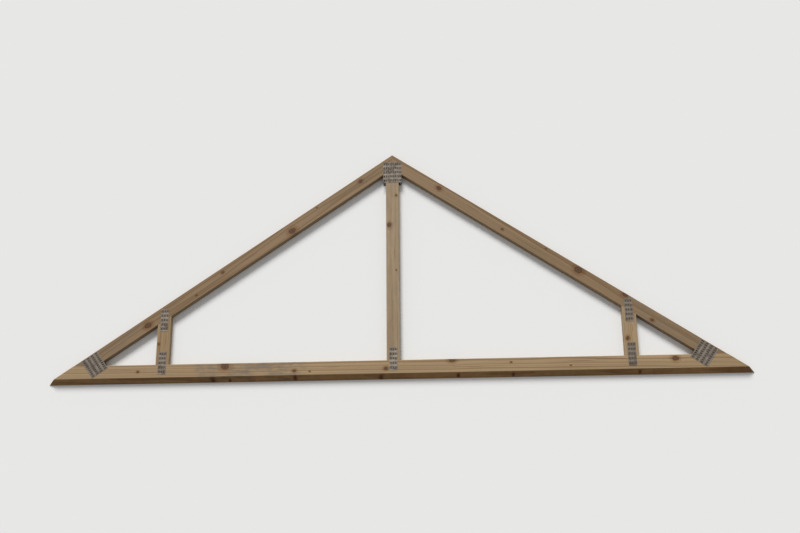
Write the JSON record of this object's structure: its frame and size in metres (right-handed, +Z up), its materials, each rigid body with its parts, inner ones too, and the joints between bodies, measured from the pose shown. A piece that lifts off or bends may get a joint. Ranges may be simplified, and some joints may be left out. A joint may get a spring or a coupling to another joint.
{
  "type": "wooden roof truss",
  "caption": "Small gabled timber roof truss: bevelled bottom chord, sloping rafters, king post and short side webs, joined by punched steel nail plates on both faces.",
  "frame": {"origin": "middle of the footprint on the floor, where the back nail plates rest", "axes": "+X along the bottom chord, +Y from the bottom chord towards the ridge, +Z up out of the front face"},
  "size_m": [3.75, 1.3128, 0.037],
  "materials": {
    "bottom_chord": "planed, weather-stained",
    "left_rafter": "planed",
    "right_rafter": "planed",
    "king_post": "planed",
    "left_web": "planed",
    "right_web": "planed",
    "nail_plate": "galvanised, dull"
  },
  "bodies": {
    "root": {"bottom_chord": "bottom_chord", "left_rafter": "left_rafter", "right_rafter": "right_rafter", "king_post": "king_post", "left_web": "left_web", "right_web": "right_web", "left_heel_plate_front": "nail_plate", "left_heel_plate_back": "nail_plate", "right_heel_plate_front": "nail_plate", "right_heel_plate_back": "nail_plate", "apex_plate_front": "nail_plate", "apex_plate_back": "nail_plate", "king_foot_plate_front": "nail_plate", "king_foot_plate_back": "nail_plate", "left_web_foot_plate_front": "nail_plate", "left_web_foot_plate_back": "nail_plate", "right_web_foot_plate_front": "nail_plate", "right_web_foot_plate_back": "nail_plate", "left_web_head_plate_front": "nail_plate", "left_web_head_plate_back": "nail_plate", "right_web_head_plate_front": "nail_plate", "right_web_head_plate_back": "nail_plate"}
  },
  "joints": []
}
